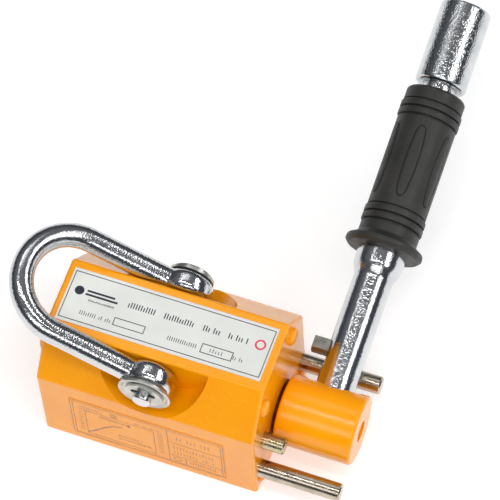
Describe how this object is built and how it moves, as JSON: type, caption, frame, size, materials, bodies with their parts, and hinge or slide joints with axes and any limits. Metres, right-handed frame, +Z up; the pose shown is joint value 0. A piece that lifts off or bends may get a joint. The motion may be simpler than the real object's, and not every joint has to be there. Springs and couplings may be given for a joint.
{
  "type": "permanent lifting magnet",
  "caption": "Hand-switched permanent magnet block with a swinging lifting shackle on top and a turning, locking handle at one end.",
  "frame": {"origin": "centre of the body's footprint, on the plane of the pole faces", "axes": "+Z up, +X along the rotor from the closed end to the handle end, +Y to the side on which the handle rests when the magnet is off"},
  "size_m": [0.1447, 0.2137, 0.0901],
  "materials": {
    "orange_paint": "glossy orange enamel",
    "chrome": "bright chromium plating",
    "pin_steel": "ground, bright",
    "zinc_steel": "dull zinc plating",
    "yellow_zinc": "yellow passivated zinc plating",
    "key_steel": "brushed",
    "bare_steel": "machined",
    "black_steel": "oil blackened",
    "plate_metal": "satin with printed lines",
    "label_print": "orange with thin printed lines",
    "brass": "plain",
    "spacer_metal": "non-magnetic, plain",
    "magnet": "nickel plated sintered magnet",
    "bearing_bronze": "sintered bronze",
    "grip_rubber": "black moulded rubber",
    "seal_rubber": "black nitrile"
  },
  "bodies": {
    "magnet_body": {"near_pole_block": "orange_paint", "far_pole_block": "orange_paint", "top_spacer": "orange_paint", "middle_spacer": "brass", "bottom_spacer": "brass", "fixed_magnet_1": "magnet", "fixed_magnet_2": "magnet", "fixed_magnet_3": "magnet", "front_cover": "orange_paint", "rear_cover": "orange_paint", "front_cover_screws": "orange_paint", "rear_cover_screws": "orange_paint", "front_bush": "bearing_bronze", "rear_bush": "bearing_bronze", "front_thrust_washer": "black_steel", "rear_thrust_washer": "bearing_bronze", "near_stop_pin": "pin_steel", "far_stop_pin": "pin_steel", "lock_pin": "yellow_zinc", "nameplate": "plate_metal", "load_chart_label": "label_print", "shackle_pin": "zinc_steel", "near_washer": "zinc_steel", "far_washer": "zinc_steel", "near_e_clip": "zinc_steel"},
    "rotor_and_handle": {"rotor_pole_a": "bare_steel", "rotor_pole_b": "bare_steel", "rotor_magnet": "magnet", "rotor_front_plate": "spacer_metal", "rotor_rear_plate": "spacer_metal", "rotor_front_screws": "zinc_steel", "rotor_rear_screws": "zinc_steel", "hub_circlip": "bare_steel", "handle_hub": "orange_paint", "handle_lock_screw": "bare_steel", "handle_tube": "chrome", "handle_grip": "grip_rubber", "rod_bush": "bearing_bronze"},
    "handle_slide": {"release_knob": "chrome", "release_rod": "bare_steel", "lock_key": "key_steel", "rod_o_ring": "seal_rubber"},
    "lifting_shackle": {"shackle": "chrome"}
  },
  "joints": [
    {"name": "handle_turn", "type": "hinge", "parent": "magnet_body", "child": "rotor_and_handle", "pos_m": [0.0648, 0, 0.0227], "axis": [1, 0, 0], "range_deg": [0, 157.8]},
    {"name": "knob_slide", "type": "slide", "parent": "rotor_and_handle", "child": "handle_slide", "axis": [0, -0.9813, -0.1924], "range_m": [0, 0.0036]},
    {"name": "shackle_swing", "type": "hinge", "parent": "magnet_body", "child": "lifting_shackle", "pos_m": [0, 0, 0.059], "axis": [0, 1, 0], "range_deg": [0, 132]}
  ]
}
